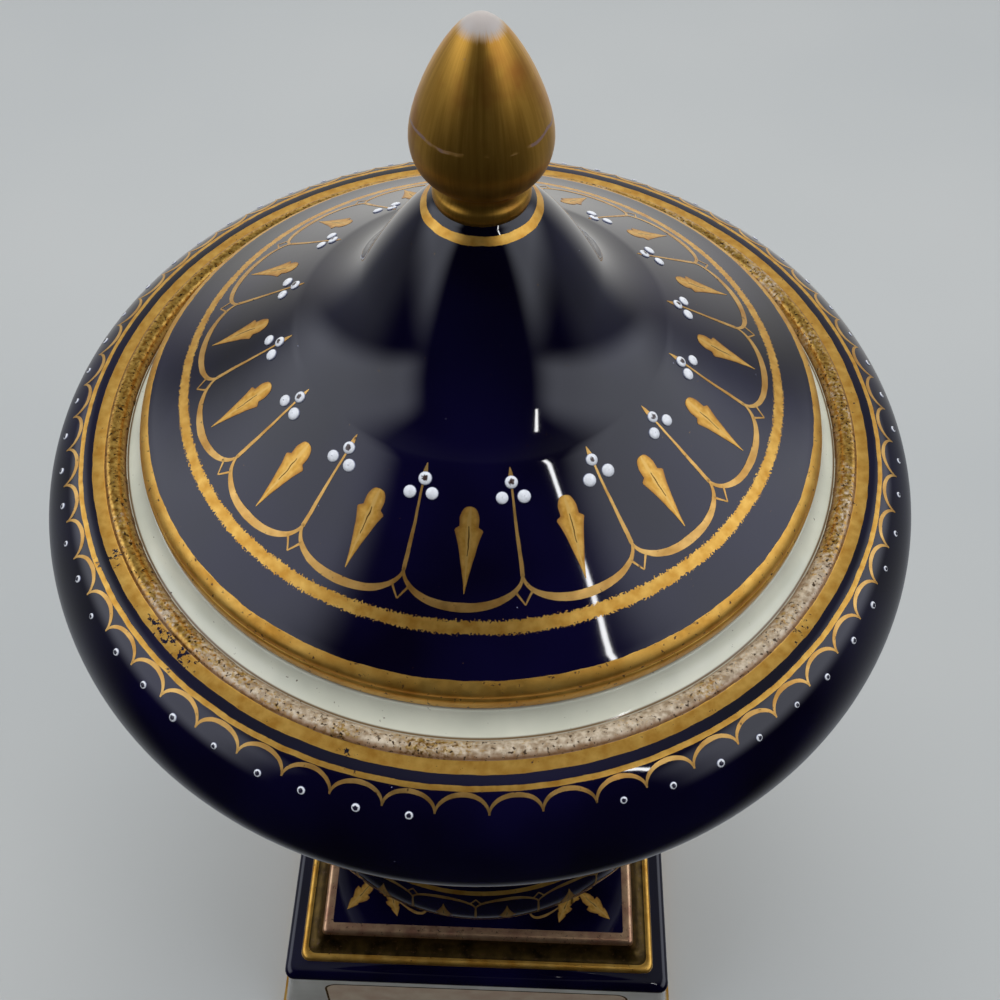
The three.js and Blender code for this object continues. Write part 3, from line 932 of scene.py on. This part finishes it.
lid_lines = [
    stroke(swag(arch_turn, lid_pitch / 2, LID_CUSP_RADIUS, 5.6, 2.2),
           ((0, 0.5), (0.12, 0.75), (0.3, 1.3), (0.5, 1.7), (0.7, 1.3), (0.88, 0.75), (1, 0.5)),
           40, line_gilt),
    stroke(curve(polar(61.4, LID_CUSP_TURN), polar(46.2, LID_CUSP_TURN)),
           ((0, 0.9), (0.3, 0.8), (0.7, 0.55), (1, 0.45)), 16, line_gilt),
    stroke(curve(polar(45, LID_CUSP_TURN), polar(42.6, LID_CUSP_TURN)),
           ((0, 1.3), (0.6, 0.7), (1, 0.15)), 8, line_gilt),
]
for side in (1, -1):
    lid_lines.append(stroke(curve(beside(63.9, LID_CUSP_TURN, side * 2.0),
                                  polar(66.6, LID_CUSP_TURN)),
                            ((0, 0.5), (1, 0.3)), 8, line_gilt))
lid_arches = repeated(joined("lid_gilt_arches", lid_lines), LID_ARCHES)
laid_on(lid_arches, lid, RIM_Z + 120)
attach(lid_arches, "root")

leaf = stroke(curve(beside(49.2, arch_turn, 0.9), beside(64.2, arch_turn, 0.5)), LEAF_BREADTHS,
              44, leaf_gilt, 6, 0.3)
lid_leaves = repeated(leaf, LID_ARCHES)
lid_leaves.name = "lid_gilt_leaves"
laid_on(lid_leaves, lid, RIM_Z + 120)
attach(lid_leaves, "root")

bright_enamel = enamel("white_enamel", 1.0, "#6d6a70")
crusted_enamel = enamel("crusted_enamel", 0.86, "#3d2f2c")
random.seed(16)
spots = []
for number in range(LID_ARCHES):
    turn = LID_CUSP_TURN + number * lid_pitch
    for radius, sideways, finish in ((45.3, 0, crusted_enamel), (47.9, 2.3, bright_enamel),
                                     (47.9, -2.3, bright_enamel)):
        spot = beside(radius + random.uniform(-0.35, 0.35), turn,
                      sideways + random.uniform(-0.25, 0.25))
        spots.append((spot, random.uniform(2.7, 3.05), finish))
lid_dots = enamel_drops("lid_enamel_dots", lid, spots, RIM_Z + 120)
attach(lid_dots, "root")


# ---- Studio ----
# A plain pale floor under one wide soft lamp, pale low surroundings that fade to a dim ceiling and
# a dim front, and one narrow strip lamp. The camera looks down on the rim from close by.

bpy.ops.object.select_all(action="DESELECT")
bpy.ops.mesh.primitive_plane_add(size=6, location=(0, 0, 0))
floor = bpy.context.object
floor.name = "studio_floor"
floor_paper, tree, shader, place = new_finish("pale_floor")
tree.links.new(blended(tree, drifting(tree, place, 300, 0.3, 0.7), "#bfc1be", "#b9bcba"),
               shader.inputs["Base Color"])
shader.inputs["Roughness"].default_value = 0.6
floor.data.materials.append(floor_paper)
floor.visible_glossy = False

world = bpy.data.worlds.new("studio")
bpy.context.scene.world = world
world.use_nodes = True
tree = world.node_tree
heading = add_node(tree, "ShaderNodeSeparateXYZ",
                   {"Vector": add_node(tree, "ShaderNodeTexCoord").outputs["Generated"]})
behind = add_node(tree, "ShaderNodeMapRange",
                  {"Value": heading.outputs["Y"], "From Min": -0.35, "From Max": 0.15},
                  interpolation_type="SMOOTHSTEP")
far_wall = add_node(tree, "ShaderNodeMapRange",
                    {"Value": heading.outputs["Y"], "From Min": 0.55, "From Max": 0.92},
                    interpolation_type="SMOOTHSTEP")
sky = blended(tree, behind.outputs["Result"], "#151516", "#7f8286")
sky = blended(tree, far_wall.outputs["Result"], sky, "#ecebe6")
tree.links.new(sky, tree.nodes["Background"].inputs["Color"])
sideways = add_node(tree, "ShaderNodeMath", {0: heading.outputs["X"]}, operation="ABSOLUTE")
climb = add_node(tree, "ShaderNodeMath", {0: heading.outputs["Z"], 1: sideways.outputs[0]},
                 operation="DIVIDE")
back_and_forth = add_node(tree, "ShaderNodeMath", {0: heading.outputs["Y"]}, operation="ABSOLUTE")
spread = add_node(tree, "ShaderNodeMath", {0: back_and_forth.outputs[0], 1: sideways.outputs[0]},
                  operation="DIVIDE")
panel = 1.6
for slope, nothing, full in ((climb, 0.15, 0.55), (climb, 2.0, 1.1), (spread, 1.2, 0.5)):
    within = add_node(tree, "ShaderNodeMapRange",
                      {"Value": slope.outputs[0], "From Min": nothing, "From Max": full},
                      interpolation_type="SMOOTHSTEP")
    panel = add_node(tree, "ShaderNodeMath", {0: within.outputs["Result"], 1: panel},
                     operation="MULTIPLY").outputs[0]
glow = add_node(tree, "ShaderNodeBackground", {"Color": linear("#e9edfa"), "Strength": panel})
both = add_node(tree, "ShaderNodeAddShader",
                {0: tree.nodes["Background"].outputs[0], 1: glow.outputs[0]})
backdrop = add_node(tree, "ShaderNodeBackground", {"Color": linear("#c3c6c4")})
seen = add_node(tree, "ShaderNodeLightPath").outputs["Is Camera Ray"]
around = add_node(tree, "ShaderNodeMixShader",
                  {0: seen, 1: both.outputs[0], 2: backdrop.outputs[0]})
tree.links.new(around.outputs[0], tree.nodes["World Output"].inputs["Surface"])


def lamp(name, ends, breadth, power, seen=True):
    """A soft lamp between two ends, in metres, facing the urn's rim. Unseen lamps light the
    surfaces without showing in the gloss."""
    first, last = Vector(ends[0]), Vector(ends[1])
    light = bpy.data.lights.new(name, "AREA")
    light.shape = "RECTANGLE"
    light.size = (last - first).length
    light.size_y = breadth
    light.energy = power
    holder = bpy.data.objects.new(name, light)
    bpy.context.scene.collection.objects.link(holder)
    holder.location = (first + last) / 2
    away = (holder.location - Vector((0, 0, RIM_Z * MM))).normalized()
    along = (last - first).normalized()
    away = (away - away.dot(along) * along).normalized()
    turn = Matrix((along, away.cross(along), away)).transposed()
    holder.rotation_euler = turn.to_euler()
    holder.visible_glossy = seen


lamp("overhead_lamp", ((-0.8, 0.3, 2.2), (0.8, 0.3, 2.2)), 1.6, 28, seen=False)
lamp("key_strip", ((0.185, -0.175, 0.8), (0.275, -0.285, 0.8)), 0.012, 0.12)

camera_data = bpy.data.cameras.new("camera")
camera_data.lens = 37.8
camera_data.sensor_width = 36
camera = bpy.data.objects.new("camera", camera_data)
bpy.context.scene.collection.objects.link(camera)
camera.location = (0.0077, -0.1697, 0.5348)
camera.rotation_euler = [math.radians(v) for v in (35.03, -0.65, 1.90)]
bpy.context.scene.camera = camera
bpy.context.scene.view_settings.view_transform = "Standard"
